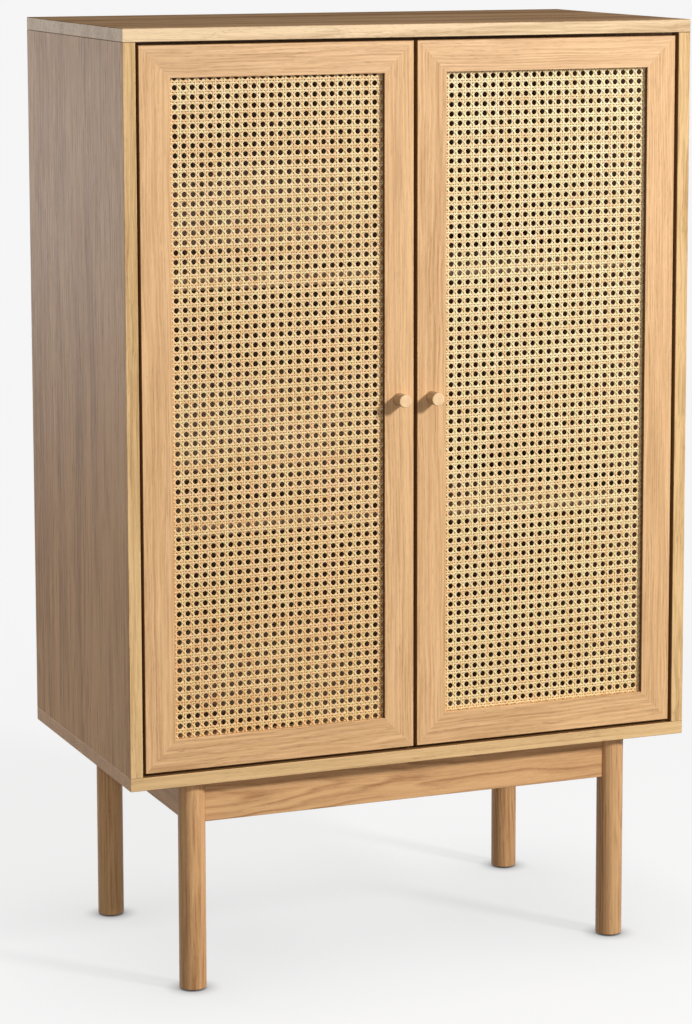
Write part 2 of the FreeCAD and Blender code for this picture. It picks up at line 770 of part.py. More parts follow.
def knob(name, side):
    """A plain turned peg with an eased end, held by a screw through the stile."""
    label = f"{name}_knob"
    body = new_body(f"{label}_blank")
    outline = disc(body, f"{label}_outline", "XZ_Plane", "knob_radius")
    block = pad(body, f"{label}_pad", outline, "knob_length")
    tip = -measure("knob_length")
    ease(body, f"{label}_easing", block, lambda edge: abs(edge.BoundBox.YMax - tip) < SAME, "knob_arris")
    spot = (f"{side} * {meeting_line}", door_front, door_middle)
    place(body, spot)
    drill(label, spot, "-y", "knob_screw_radius", "knob_screw_bite + hole_spare")
    seat = (spot[0], door_back, spot[2])
    drill(f"{name}_meeting_stile", seat, "-y", "knob_screw_radius", "door_thickness + overrun")
    bored(label, body)
    radius = "knob_screw_radius"
    wide, rise = f"{radius} * {SCREW_HEAD_SHARE}", f"{radius} * {SCREW_RISE_SHARE}"
    head = rod("knob_screw_head", seat, "+y", wide, rise, FASTENER_SIDES)
    shank = rod("knob_screw_shank", seat, "-y", radius, "door_thickness + knob_screw_bite", FASTENER_SIDES)
    finish(fused("knob_screw", [head, shank]), f"{name}_knob_screw")


def striker(name, side):
    """A steel plate behind the meeting stile that the catch magnet pulls on."""
    label = f"{name}_striker_plate"
    centre = f"{side} * {meeting_line}"
    outside = f"({door_back} + striker_thickness)"
    plate = box("striker_blank", about(centre, "striker_width"), (door_back, outside),
                about(catch_height, "striker_length"))
    screws = []
    for sign in ("-", "+"):
        seat = (centre, outside, f"{catch_height} {sign} (striker_length / 2 - striker_screw_inset)")
        drill(label, seat, "-y", "striker_screw_radius", "striker_thickness + overrun")
        depth = "striker_screw_length + hole_spare"
        drill(f"{name}_meeting_stile", seat, "-y", "striker_screw_radius", depth)
        screws.append(screw("striker_screw", seat, "-y", "striker_screw"))
    bored(label, plate)
    grouped(f"{name}_striker_screws", screws)


def hinge_cup(name, side, height):
    """A cup sunk in the back of the hinge stile, with its pin and its two screws."""
    stile = f"{name}_hinge_stile"
    centre = f"{side} * ({door_outer} - cup_edge_inset)"
    mouth = (centre, door_back, height)
    drill(stile, mouth, "-y", "cup_radius", "cup_depth", CUP_SIDES)
    outside = f"({door_back} + flange_thickness)"
    shell = rod("cup_shell", mouth, "-y", "cup_radius", "cup_depth", CUP_SIDES)
    flange = box("cup_flange", about(centre, "flange_width"), (door_back, outside),
                 about(height, "flange_height"))
    hollow = rod("cup_hollow", (centre, outside, height), "-y", "cup_radius - cup_wall",
                 "flange_thickness + cup_depth - cup_wall", CUP_SIDES)
    axis = (f"{side} * {hinge_line}", hinge_depth)
    low = (*axis, f"{height} - hinge_pin_length / 2")
    pin = rod("hinge_pin", low, "+z", "hinge_pin_radius", "hinge_pin_length")
    around_pin = f"(hinge_pin_radius + hole_fit) / cos(180 deg / {FITTING_SIDES})"
    pin_hole = rod("cup_pin_hole", low, "+z", around_pin, "hinge_pin_length", FITTING_SIDES)
    holes, screws = [hollow, pin_hole], []
    for sign in ("-", "+"):
        seat = (centre, outside, f"{height} {sign} cup_screw_spacing / 2")
        drill(stile, seat, "-y", "cup_screw_radius", "cup_screw_length + hole_spare")
        holes.append(rod("cup_screw_hole", moved(seat, "+y", "overrun"), "-y", "cup_screw_radius + hole_fit",
                         "flange_thickness + 2 * overrun", FASTENER_SIDES))
        screws.append(screw("cup_screw", seat, "-y", "cup_screw"))
    return cut("hinge_cup", fused("cup_blank", [shell, flange]), holes), pin, screws


def hinge_arm(side, height):
    """The gooseneck that reaches out of the cup, round the door's edge and back along the side panel.

    Each bend of the strap is folded in two halves, with the strap as thick there as elsewhere.
    """
    body = new_body("arm_blank")
    low, high = "arm_lift", "arm_lift + arm_strap"
    throat, neck = "arm_throat", "arm_neck"
    wall = "-(hinge_edge_inset + door_gap - plate_thickness)"
    face = f"{wall} + arm_strap"
    path = [
        ("0", low),
        (throat, low),
        (throat, neck),
        (face, neck),
        (face, "arm_reach"),
        (wall, "arm_reach"),
        (wall, f"{neck} - arm_strap"),
        (f"{throat} - arm_strap", f"{neck} - arm_strap"),
        (f"{throat} - arm_strap", high),
        ("0", high),
    ]
    mirrored = [(across if across == "0" else f"{-side} * ({across})", back_way) for across, back_way in path]
    outline = polygon(body, "arm_outline", "XY_Plane", mirrored)
    strap = pad(body, "arm_strap_pad", outline, "arm_width", middle=True)
    bends = {1: True, 2: True, 3: False, 6: True, 7: False, 8: False}
    spots = {index: tuple(measure(text) for text in mirrored[index]) for index in bends}

    def at_bend(outside):
        wanted = [spots[index] for index, outer in bends.items() if outer == outside]

        def test(edge):
            ends = edge.Vertexes
            upright = abs(ends[0].X - ends[-1].X) + abs(ends[0].Y - ends[-1].Y) < SAME
            return upright and any(abs(ends[0].X - x) + abs(ends[0].Y - y) < SAME for x, y in wanted)

        return test

    inside = ease(body, "arm_inner_bends", strap, at_bend(False), "arm_bend")
    ease(body, "arm_outer_bends", inside, at_bend(True), "arm_bend + arm_strap * (2 - sqrt(2))")
    eye = disc(body, "arm_eye_outline", "XY_Plane", "eye_radius")
    pad(body, "arm_eye_pad", eye, "arm_width", middle=True)
    spot = (f"{side} * {hinge_line}", hinge_depth, height)
    place(body, spot)
    return body


def hinges():
    """Four hinges: cups and pins ride with the doors, arms and plates stay with the carcass."""
    arms, plates, plate_screws, clamp_screws = [], [], [], []
    for name, side in SIDES.items():
        outward = "+x" if side > 0 else "-x"
        cups, pins, cup_screws = [], [], []
        for height in hinge_heights.values():
            cup, pin, screws = hinge_cup(name, side, height)
            cups.append(cup)
            pins.append(pin)
            cup_screws += screws
            axis = (f"{side} * {hinge_line}", hinge_depth)
            bore = rod("arm_bore", (*axis, f"{height} - arm_width"), "+z",
                       "hinge_pin_radius + hinge_running", "2 * arm_width")
            plate_face = f"({inner_half} - plate_thickness)"
            plate = box("plate_blank", span(side, plate_face, inner_half),
                        (f"{hinge_depth} + plate_start", f"{hinge_depth} + plate_end"),
                        about(height, "plate_height"))
            holes = []
            for sign in ("-", "+"):
                seat = (f"{side} * {plate_face}", f"{hinge_depth} + plate_screw_setback",
                        f"{height} {sign} plate_screw_spacing / 2")
                depth = "plate_screw_length + hole_spare"
                drill(f"{name}_side_panel", seat, outward, "plate_screw_radius", depth)
                holes.append(rod("plate_hole", moved(seat, opposite(outward), "overrun"), outward,
                                 "plate_screw_radius + hole_fit", "plate_thickness + 2 * overrun",
                                 FASTENER_SIDES))
                plate_screws.append(screw("plate_screw", seat, outward, "plate_screw"))
            seat = (f"{side} * ({plate_face} - arm_strap)", f"{hinge_depth} + clamp_setback", height)
            clamp_hole = rod("clamp_hole", moved(seat, opposite(outward), "overrun"), outward,
                             "clamp_screw_radius + hole_fit", "arm_strap + plate_thickness + overrun",
                             FASTENER_SIDES)
            holes.append(clamp_hole)
            clamp_screws.append(screw("clamp_screw", seat, outward, "clamp_screw"))
            plates.append(cut("hinge_plate", plate, holes))
            arms.append(cut("hinge_arm", hinge_arm(side, height), [bore, clamp_hole]))
        grouped(f"{name}_hinge_cups", cups)
        grouped(f"{name}_hinge_pins", pins)
        grouped(f"{name}_cup_screws", cup_screws)
    grouped("hinge_arms", arms)
    grouped("hinge_plates", plates)
    grouped("hinge_plate_screws", plate_screws)
    grouped("hinge_clamp_screws", clamp_screws)


def build():
    blanks = carcass_boards()
    knock_down_fittings()
    back_panel()
    shelves()
    base()
    hinges()
    for name, side in SIDES.items():
        knob(name, side)
        striker(name, side)
        door_frame(name, side)
        cane_panel(name, side)
        cane_beads(name, side)
    for label, blank in blanks.items():
        bored(label, blank)


def write_parts():
    """Writes every sub-part once the whole document is sound."""
    doc.recompute()
    failed = [thing.Name for thing in doc.Objects if {"Invalid", "Error"} & set(thing.State)]
    if failed:
        raise RuntimeError(f"failed features: {failed}")
    for thing in sub_parts:
        if thing.Shape.isNull() or not thing.Shape.isValid():
            raise RuntimeError(f"{thing.Label} has no sound shape")
    os.makedirs("parts", exist_ok=True)
    for thing in sub_parts:
        thing.Shape.exportStep(f"parts/{thing.Label}.step")
    print(f"{len(sub_parts)} sub-parts, {sum(len(thing.Shape.Solids) for thing in sub_parts)} solids")


build()
write_parts()
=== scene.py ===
"""Visual model of the record cabinet: wood, woven cane, turned work, fittings, floor, light and camera."""

import math
import random

import bmesh
import bpy
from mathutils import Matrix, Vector


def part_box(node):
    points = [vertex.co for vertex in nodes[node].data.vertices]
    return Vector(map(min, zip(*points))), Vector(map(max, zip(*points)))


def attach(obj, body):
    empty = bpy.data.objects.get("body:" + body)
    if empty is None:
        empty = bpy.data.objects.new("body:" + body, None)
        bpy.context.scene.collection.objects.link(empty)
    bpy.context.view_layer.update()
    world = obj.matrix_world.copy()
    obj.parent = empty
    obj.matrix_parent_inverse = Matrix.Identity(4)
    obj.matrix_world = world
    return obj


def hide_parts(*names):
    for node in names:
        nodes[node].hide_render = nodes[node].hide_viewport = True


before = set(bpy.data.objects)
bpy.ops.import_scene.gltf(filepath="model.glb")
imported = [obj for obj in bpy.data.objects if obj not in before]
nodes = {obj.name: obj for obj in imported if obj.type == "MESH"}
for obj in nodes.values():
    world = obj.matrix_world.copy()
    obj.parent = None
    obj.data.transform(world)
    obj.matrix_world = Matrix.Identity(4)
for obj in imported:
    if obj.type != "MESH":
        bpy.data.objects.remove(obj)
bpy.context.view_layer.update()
scene = bpy.context.scene

# All sizes are in metres.
DOORS = ("left", "right")
LEGS = ("front_left_leg", "front_right_leg", "rear_left_leg", "rear_right_leg")

# Woven cane: its pitch, the middle of one hole near the top of each door, and its strands.
PITCH_ACROSS = 0.0125
PITCH_UP = 0.01298
FIRST_HOLE = {"left": (-0.3453, 1.2503), "right": (0.3440, 1.2570)}
PAIR_HALF = 0.00165
STRAND_WIDTH = 0.0024
DIAGONAL_WIDTH = 0.0021
STRAND_THICK = 0.0004
STRAND_SWAY = 0.00029
DIAGONAL_SWAY = 0.0005
STRAND_SIDES = 6
CANE_TUCK = 0.0055
BEATS_PER_PITCH = 4
# Straw and cream tones of single strands, by the tone kept on each strand.
STRAND_TONES = ((0.0, (0.84, 0.51, 0.22)), (0.3, (0.96, 0.66, 0.32)), (0.6, (1.0, 0.78, 0.43)),
                (0.85, (0.90, 0.72, 0.34)), (1.0, (0.98, 0.65, 0.39)))
STRAND_STAIN = (0.62, 0.40, 0.17)
STRAND_SPECK = (0.33, 0.19, 0.07)
# Cane paler to the top, partly its own tint, partly painted light: the factor at each door's bottom and top.
CANE_TINTS_AND_PAINTED_LIGHT = {"left": ((0.985, 0.89, 0.80), (0.985, 1.0, 1.05)),
              "right": ((1.0, 0.98, 0.94), (1.0, 1.11, 1.26))}

# Light and dark tone of each kind of wood, linear.
DOOR_TONES = ((0.86, 0.530, 0.262), (0.53, 0.285, 0.117))
RAIL_TONES = ((0.88, 0.560, 0.295), (0.54, 0.300, 0.130))
# Painted shade: the faces in the gaps round the doors, and the carcass inside in front of the doors, darkened
# as if in shadow.
GAP_PAINTED_SHADE_TONES = ((0.33, 0.165, 0.056), (0.22, 0.100, 0.034))
# Painted shadow on the lips of two stiles that face left beside the cane.
LIP_PAINTED_SHADOW_TONES = ((0.14, 0.054, 0.012), (0.09, 0.034, 0.008))
EDGE_TONES = ((0.84, 0.560, 0.268), (0.54, 0.325, 0.138))
SIDE_TONES = ((0.83, 0.480, 0.235), (0.42, 0.208, 0.086))
SEAM_TONES = ((0.26, 0.145, 0.060), (0.18, 0.095, 0.040))
# Painted shade: the top face is darker than the same oak elsewhere.
TOP_FACE_PAINTED_SHADE_TONES = ((0.565, 0.357, 0.202), (0.250, 0.138, 0.066))
# Painted highlight: the top's front and back edges are lighter and whiter than the other edges.
TOP_EDGE_PAINTED_HIGHLIGHT_TONES = ((0.93, 0.690, 0.420), (0.62, 0.415, 0.225))
# Painted sheen: the top's left end is lighter and greyer than the oak.
TOP_END_PAINTED_SHEEN_TONES = ((0.95, 0.690, 0.440), (0.66, 0.440, 0.260))
INSIDE_TONES = ((0.64, 0.440, 0.285), (0.43, 0.275, 0.168))
# Painted shade: the back and the shelves are darker than the other boards inside.
BACK_PAINTED_SHADE_TONES = ((0.36, 0.235, 0.140), (0.25, 0.152, 0.085))
SHELF_PAINTED_SHADE_TONES = ((0.42, 0.275, 0.165), (0.20, 0.118, 0.062))
BASE_TONES = ((0.82, 0.475, 0.215), (0.46, 0.215, 0.080))
KNOB_TONES = ((0.98, 0.690, 0.400), (0.80, 0.520, 0.270))
BEECH_TONES = ((0.68, 0.470, 0.280), (0.55, 0.350, 0.190))
PORE_TONE = (0.24, 0.12, 0.05)
# Painted light: the inside of the right side panel is made lighter.
RIGHT_INSIDE_PAINTED_LIGHT = 1.25
APRON_SHADE = 0.93
LEG_SHADES = (1.0, 0.88, 0.97, 0.93)
# Painted shade: the knobs' sides are darker than their ends.
KNOB_SIDE_PAINTED_SHADE = 0.55
# How far in from a board's outermost plane its face is taken to reach.
FACE_BAND = 0.0007

# How the layers of the oak's figure are stretched along and across the grain.
GRAIN_ORDER = {"x": "XYZ", "y": "YZX", "z": "ZXY"}
WANDER_STRETCH = (2.6, 10.0, 10.0)
RIPPLE_STRETCH = (1.0, 40.0, 40.0)
UNEVEN_STRETCH = (3.0, 60.0, 60.0)
FIBRE_STRETCH = (13.0, 620.0, 620.0)
LINE_STRETCH = (4.5, 280.0, 280.0)
PORE_STRETCH = (60.0, 1500.0, 1500.0)
PATCH_STRETCH = (1.3, 20.0, 20.0)
# Darkness over one growth ring, from the early wood to the late.
EARLY_WOOD = ((0.0, 0.75), (0.1, 1.0), (0.42, 0.3), (0.8, 0.0), (1.0, 0.75))
RIPPLE = 3.0
FIBRE_SHARE = 0.7

# Figure of each board: ring width, strength of the rings, drift and lean, broad patches, fine streaks.
SIDE_FIGURE = {"ring": 0.006, "figure": 0.35, "drift": 0.03, "tilt": (0.0, 0.02), "broad": 0.6, "streak": 1.0}
TOP_FIGURE = {"ring": 0.006, "figure": 0.5, "drift": 0.03, "tilt": (0.0, 0.02), "broad": 0.9, "streak": 0.8}
LONG_APRON_FIGURE = {"ring": 0.0060, "figure": 0.95, "drift": 0.034, "tilt": (0.0, 0.03), "broad": 0.35,
                     "streak": 0.3}
SHORT_APRON_FIGURE = {"ring": 0.0052, "figure": 0.95, "drift": 0.016, "tilt": (0.0, 0.03), "broad": 0.35,
                      "streak": 0.3}
DOOR_FIGURE = {"ring": 0.0040, "drift": 0.02, "tilt": (0.01, 0.02), "streak": 0.65}
LEG_FIGURE = {"ring": 0.0050, "figure": 0.6, "drift": 0.02, "tilt": (0.02, 0.03), "streak": 0.6}
KNOB_FIGURE = {"ring": 0.0022, "figure": 0.3, "drift": 0.004}

# Turned work and fittings. A screw's head is a share wider than its shank, and its top a share narrower.
TURNED_SIDES = 48
FITTING_SIDES = 32
LEG_EASE = 0.0015
KNOB_EASE = 0.0012
FITTING_CHAMFER = 0.0004
TURNED_CREASE = math.radians(40)
FITTING_CREASE = math.radians(35)
HEAD_SIDES = 28
SHANK_SIDES = 16
HEAD_SHARE = 1.9
HEAD_CROWN = 0.72
CAM_HEAD_HEIGHT = 0.003
CAM_SHARE = 1.02
CAM_CROWN = 0.94
# The cross recess in a head, as shares of the head's radius and height.
RECESS_LENGTH = 1.05
RECESS_WIDTH = 0.24
RECESS_DEPTH = 1.2

# Studio: the background's level, and the fill that comes from all round.
BACKGROUND = 0.92
FILL = 0.27
WHITE = (1.0, 1.0, 1.0, 1.0)
# The floor is one wide face. Its grey takes light and shadow, and its glow brings it up to the background.
FLOOR_CORNERS = ((-180.0, -90.0, 0.0), (180.0, -90.0, 0.0), (0.0, 220.0, 0.0))
FLOOR_GREY = (0.16, 0.16, 0.16, 1.0)
FLOOR_LIT = 0.114
LEAST_GLOW = 0.1
# Reach and depth of the soft shade under the cabinet and of the close one at its feet.
FLOOR_SHADES = ((0.33, 0.36), (0.024, 0.62))
SHADE_SAMPLES = 16
# Distances from the cabinet between which the floor turns into even background.
FADE_FROM, FADE_TO = 0.9, 2.6

# Camera and lamps: power in watts, width, and where they stand and face.
VIEWPOINT = (-1.7857, -4.4122, 1.5105)
VIEW_PITCH, VIEW_YAW = 7.985, 22.691
LENS, SENSOR = 117.437, 36.0
LENS_SHIFT = (-0.05, -0.15)
FAR_CLIP = 300.0
LAMP_TARGET = (0.0, -0.2, 0.81)
KEY_POWER, KEY_WIDTH = 186.0, 0.7
KEY_WAY, KEY_DISTANCE = (0.547, -0.730, 0.409), 4.5
FRONT_POWER, FRONT_WIDTH = 34.0, 0.2
SIDE_POWER, SIDE_WIDTH = 16.5, 1.3
SIDE_LAMP, SIDE_TARGET = (-1.5, 2.9, 0.95), (-0.42, 0.0, 1.0)


def add(tree, kind, inputs=None, **settings):
    """A node with its settings and inputs; an input may be a value or another node's output."""
    made = tree.nodes.new(kind)
    for label, value in settings.items():
        setattr(made, label, value)
    for label, value in (inputs or {}).items():
        if isinstance(value, bpy.types.NodeSocket):
            tree.links.new(value, made.inputs[label])
        else:
            made.inputs[label].default_value = value
    return made


def maths(tree, operation, a, b=0.0):
    return add(tree, "ShaderNodeMath", {0: a, 1: b}, operation=operation).outputs[0]


def vectors(tree, operation, a, b=(0.0, 0.0, 0.0)):
    return add(tree, "ShaderNodeVectorMath", {0: a, 1: b}, operation=operation)


def noise(tree, vector, stretch, detail=2.0, roughness=0.5):
    """Noise over a vector that is stretched first, so that it can run along a grain."""
    stretched = vectors(tree, "MULTIPLY", vector, stretch).outputs[0]
    return add(tree, "ShaderNodeTexNoise",
               {"Vector": stretched, "Scale": 1.0, "Detail": detail, "Roughness": roughness})


def colour_ramp(tree, factor, stops):
    """Colours along a factor, from (position, colour) stops."""
    made = add(tree, "ShaderNodeValToRGB", {0: factor})
    elements = made.color_ramp.elements
    while len(elements) < len(stops):
        elements.new(0.5)
    for element, (position, colour) in zip(elements, stops):
        element.position = position
        element.color = rgba(colour)
    return made.outputs[0]


def ramp(tree, factor, stops):
    """Grey levels along a factor, from (position, level) stops."""
    return colour_ramp(tree, factor, [(position, (level, level, level)) for position, level in stops])


def mix(tree, factor, a, b, blend="MIX"):
    return add(tree, "ShaderNodeMix", {0: factor, 6: a, 7: b}, data_type="RGBA", blend_type=blend).outputs[2]


def rgba(colour):
    return (*colour, 1.0)


def new_material(name):
    """An empty principled material and its tree and shader."""
    material = bpy.data.materials.new(name)
    material.use_nodes = True
    tree = material.node_tree
    tree.nodes.clear()
    shader = add(tree, "ShaderNodeBsdfPrincipled")
    add(tree, "ShaderNodeOutputMaterial", {"Surface": shader.outputs[0]})
    return material, tree, shader


def join(tree, shader, **values):
    """Links values to the shader's sockets; an underscore in a label stands for a space."""
    for label, value in values.items():
        tree.links.new(value, shader.inputs[label.replace("_", " ")])


def object_coordinates(tree):
    return add(tree, "ShaderNodeTexCoord").outputs["Object"]


def growth_rings(tree, bent, heart, ring, tilt, seed):
    """Darkness of the growth rings, which are cylinders round a pith line that lies heart away."""
    leaning = add(tree, "ShaderNodeMapping", {
        "Vector": bent, "Rotation": (0.0, *tilt),
        "Location": (0.0, -heart[0] - seed, -heart[1] - seed)}).outputs[0]
    across = vectors(tree, "MULTIPLY", leaning, (0.0, 1.0, 1.0)).outputs[0]
    rings = maths(tree, "DIVIDE", vectors(tree, "LENGTH", across).outputs[1], ring)
    ripple = maths(tree, "MULTIPLY", noise(tree, bent, RIPPLE_STRETCH).outputs[0], RIPPLE)
    return ramp(tree, maths(tree, "FRACT", maths(tree, "ADD", rings, ripple)), EARLY_WOOD)


def oak(node_name, grain, tones, heart, ring=0.0032, figure=0.4, drift=0.012, tilt=(0.0, 0.012), broad=0.3,
        streak=0.5, faces=(), gloss=0.4, seed=0.0, matt_last=False):
    """Oak for one board, with the grain along an axis.

    Each of the faces, as (axis, comparison, limit, tones), takes tones of its own, and the last may be matt.
    """
    material, tree, shader = new_material("oak_" + node_name)
    low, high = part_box(node_name)
    centre = (Vector(low) + Vector(high)) / 2
    axes = ["XYZ".index(letter) for letter in GRAIN_ORDER[grain]]
    parts = add(tree, "ShaderNodeSeparateXYZ", {0: object_coordinates(tree)}).outputs
    by_grain = {slot: parts[axis] for slot, axis in enumerate(axes)}
    along = add(tree, "ShaderNodeCombineXYZ", by_grain).outputs[0]
    placed = vectors(tree, "SUBTRACT", along, [centre[axis] - seed for axis in axes]).outputs[0]

    wander = noise(tree, placed, WANDER_STRETCH, 3.0, 0.6).outputs[1]
    wander = vectors(tree, "SUBTRACT", wander, (0.5, 0.5, 0.5)).outputs[0]
    wander = add(tree, "ShaderNodeVectorMath", {0: wander, "Scale": drift}, operation="SCALE").outputs[0]
    bent = vectors(tree, "ADD", placed, wander).outputs[0]
    early = growth_rings(tree, bent, heart, ring, tilt, seed)
    uneven = ramp(tree, noise(tree, placed, UNEVEN_STRETCH).outputs[0], ((0.35, 0.1), (0.65, 1.0)))
    early = mix(tree, 1.0, early, uneven, "MULTIPLY")

    fibre = noise(tree, bent, FIBRE_STRETCH, 3.0, 0.6).outputs[0]
    lines = ramp(tree, noise(tree, bent, LINE_STRETCH, 3.0, 0.65).outputs[0], ((0.36, 0.0), (0.66, 1.0)))
    pores = ramp(tree, noise(tree, bent, PORE_STRETCH, 1.0).outputs[0], ((0.55, 0.0), (0.67, 1.0)))
    patch = ramp(tree, noise(tree, bent, PATCH_STRETCH, 3.0).outputs[0], ((0.35, 0.0), (0.65, 1.0)))
    dark = maths(tree, "MULTIPLY", early, figure)
    for layer, share in ((lines, streak), (patch, broad), (fibre, FIBRE_SHARE)):
        swing = maths(tree, "MULTIPLY", maths(tree, "SUBTRACT", layer, 0.5), share)
        dark = maths(tree, "ADD", dark, swing)
    dark = add(tree, "ShaderNodeClamp", {0: maths(tree, "ADD", dark, 0.42 - 0.3 * figure)}).outputs[0]

    light, deep = (rgba(tone) for tone in tones)
    for axis, comparison, limit, face_tones in faces:
        on_face = maths(tree, comparison, parts[axis], limit)
        light = mix(tree, on_face, light, rgba(face_tones[0]))
        deep = mix(tree, on_face, deep, rgba(face_tones[1]))
    pitted = maths(tree, "MULTIPLY", pores, ramp(tree, early, ((0.0, 0.12), (1.0, 0.6))))
    colour = mix(tree, pitted, mix(tree, dark, light, deep), rgba(PORE_TONE))
    height = maths(tree, "SUBTRACT", fibre, maths(tree, "MULTIPLY", pitted, 1.4))
    bump = add(tree, "ShaderNodeBump", {"Height": height, "Strength": 0.22, "Distance": 0.0005})
    join(tree, shader, Base_Color=colour, Normal=bump.outputs[0],
         Roughness=ramp(tree, fibre, ((0.25, 0.42), (0.75, 0.58))))
    shader.inputs["Specular IOR Level"].default_value = gloss
    if matt_last:
        level = maths(tree, "MULTIPLY", maths(tree, "SUBTRACT", 1.0, on_face), gloss)
        tree.links.new(level, shader.inputs["Specular IOR Level"])
    return material


def cane_finish(side):
    """Split cane: straw and cream strands, stained and specked, with a slight gloss."""
    material, tree, shader = new_material(side + "_cane_strand")
    coords = object_coordinates(tree)
    tone = add(tree, "ShaderNodeAttribute", attribute_name="tone").outputs["Fac"]
    mottle = noise(tree, coords, (120.0, 120.0, 120.0), 3.0, 0.6).outputs[0]
    stain = ramp(tree, mottle, ((0.45, 0.0), (0.78, 0.45)))
    colour = mix(tree, stain, colour_ramp(tree, tone, STRAND_TONES), rgba(STRAND_STAIN))
    speck = noise(tree, coords, (1500.0, 1500.0, 1500.0), 1.0).outputs[0]
    colour = mix(tree, ramp(tree, speck, ((0.62, 0.0), (0.72, 0.35))), colour, rgba(STRAND_SPECK))
    # Paler towards the top: partly the cane's own tint, partly painted light.
    up = add(tree, "ShaderNodeSeparateXYZ", {0: coords}).outputs[2]
    low, high = (corner[2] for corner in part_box(side + "_cane_panel"))
    rise = add(tree, "ShaderNodeMapRange", {0: up, 1: low, 2: high}).outputs[0]
    tint_and_painted_light = mix(tree, rise, *(rgba(level) for level in CANE_TINTS_AND_PAINTED_LIGHT[side]))
    colour = mix(tree, 1.0, colour, tint_and_painted_light, "MULTIPLY")
    bump = add(tree, "ShaderNodeBump", {"Height": speck, "Strength": 0.15, "Distance": 0.0002})
    join(tree, shader, Base_Color=colour, Normal=bump.outputs[0],
         Roughness=ramp(tree, mottle, ((0.3, 0.38), (0.7, 0.55))))
    return material


def metal(name, colour, low, high):
    """Plated steel with fine scratches and clouded patches, between two roughnesses."""
    material, tree, shader = new_material(name)
    coords = object_coordinates(tree)
    cloud = noise(tree, coords, (90.0, 90.0, 90.0), 3.0).outputs[0]
    scratch = noise(tree, coords, (2500.0, 180.0, 900.0), 2.0).outputs[0]
    dull = rgba([level * 0.6 for level in colour])
    worn = mix(tree, ramp(tree, cloud, ((0.45, 0.0), (0.8, 0.6))), rgba(colour), dull)
    rough = ramp(tree, cloud, ((0.3, low), (0.7, high)))
    rough = maths(tree, "ADD", rough, maths(tree, "MULTIPLY", scratch, 0.08))
    bump = add(tree, "ShaderNodeBump", {"Height": scratch, "Strength": 0.08, "Distance": 0.0002})
    join(tree, shader, Base_Color=worn, Roughness=rough, Normal=bump.outputs[0])
    shader.inputs["Metallic"].default_value = 1.0
    return material


def moulded(name, colour, rough):
    """Moulded plastic with a fine grain."""
    material, tree, shader = new_material(name)
    coords = object_coordinates(tree)
    grain = noise(tree, coords, (1400.0, 1400.0, 1400.0), 2.0).outputs[0]
    cloud = noise(tree, coords, (60.0, 60.0, 60.0), 2.0).outputs[0]
    worn = mix(tree, cloud, rgba(colour), rgba([level * 1.6 + 0.01 for level in colour]))
    bump = add(tree, "ShaderNodeBump", {"Height": grain, "Strength": 0.15, "Distance": 0.0003})
    join(tree, shader, Base_Color=worn, Normal=bump.outputs[0],
         Roughness=ramp(tree, cloud, ((0.3, rough - 0.08), (0.7, rough + 0.1))))
    return material


def paint_node(name, material):
    """A CAD node's own faces take this material."""
    node = nodes[name]
    if not node.material_slots:
        node.data.materials.append(material)
    for holder in node.material_slots:
        holder.material = material


def place(name, mesh, body, replaced):
    """A finished mesh becomes a piece of the object, in place of CAD nodes."""
    piece = bpy.data.objects.new(name, mesh)
    scene.collection.objects.link(piece)
    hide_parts(*replaced)
    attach(piece, body)


def shaded(tones, share):
    """The same wood, at a share of its lightness."""
    return tuple(tuple(share * level for level in tone) for tone in tones)


def outer_face(name, axis, way, tones):
    """Mask for a board's face on one side."""
    low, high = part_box(name)
    if way < 0:
        return [(axis, "LESS_THAN", low[axis] + FACE_BAND, tones)]
    return [(axis, "GREATER_THAN", high[axis] - FACE_BAND, tones)]


def edge_faces(name, axis, tones):
    """Masks for a board's two faces across an axis."""
    return outer_face(name, axis, -1, tones) + outer_face(name, axis, 1, tones)


def finish_board(name, grain, tones, heart, **figure):
    """A CAD board takes oak of its own."""
    paint_node(name, oak(name, grain, tones, heart, **figure))


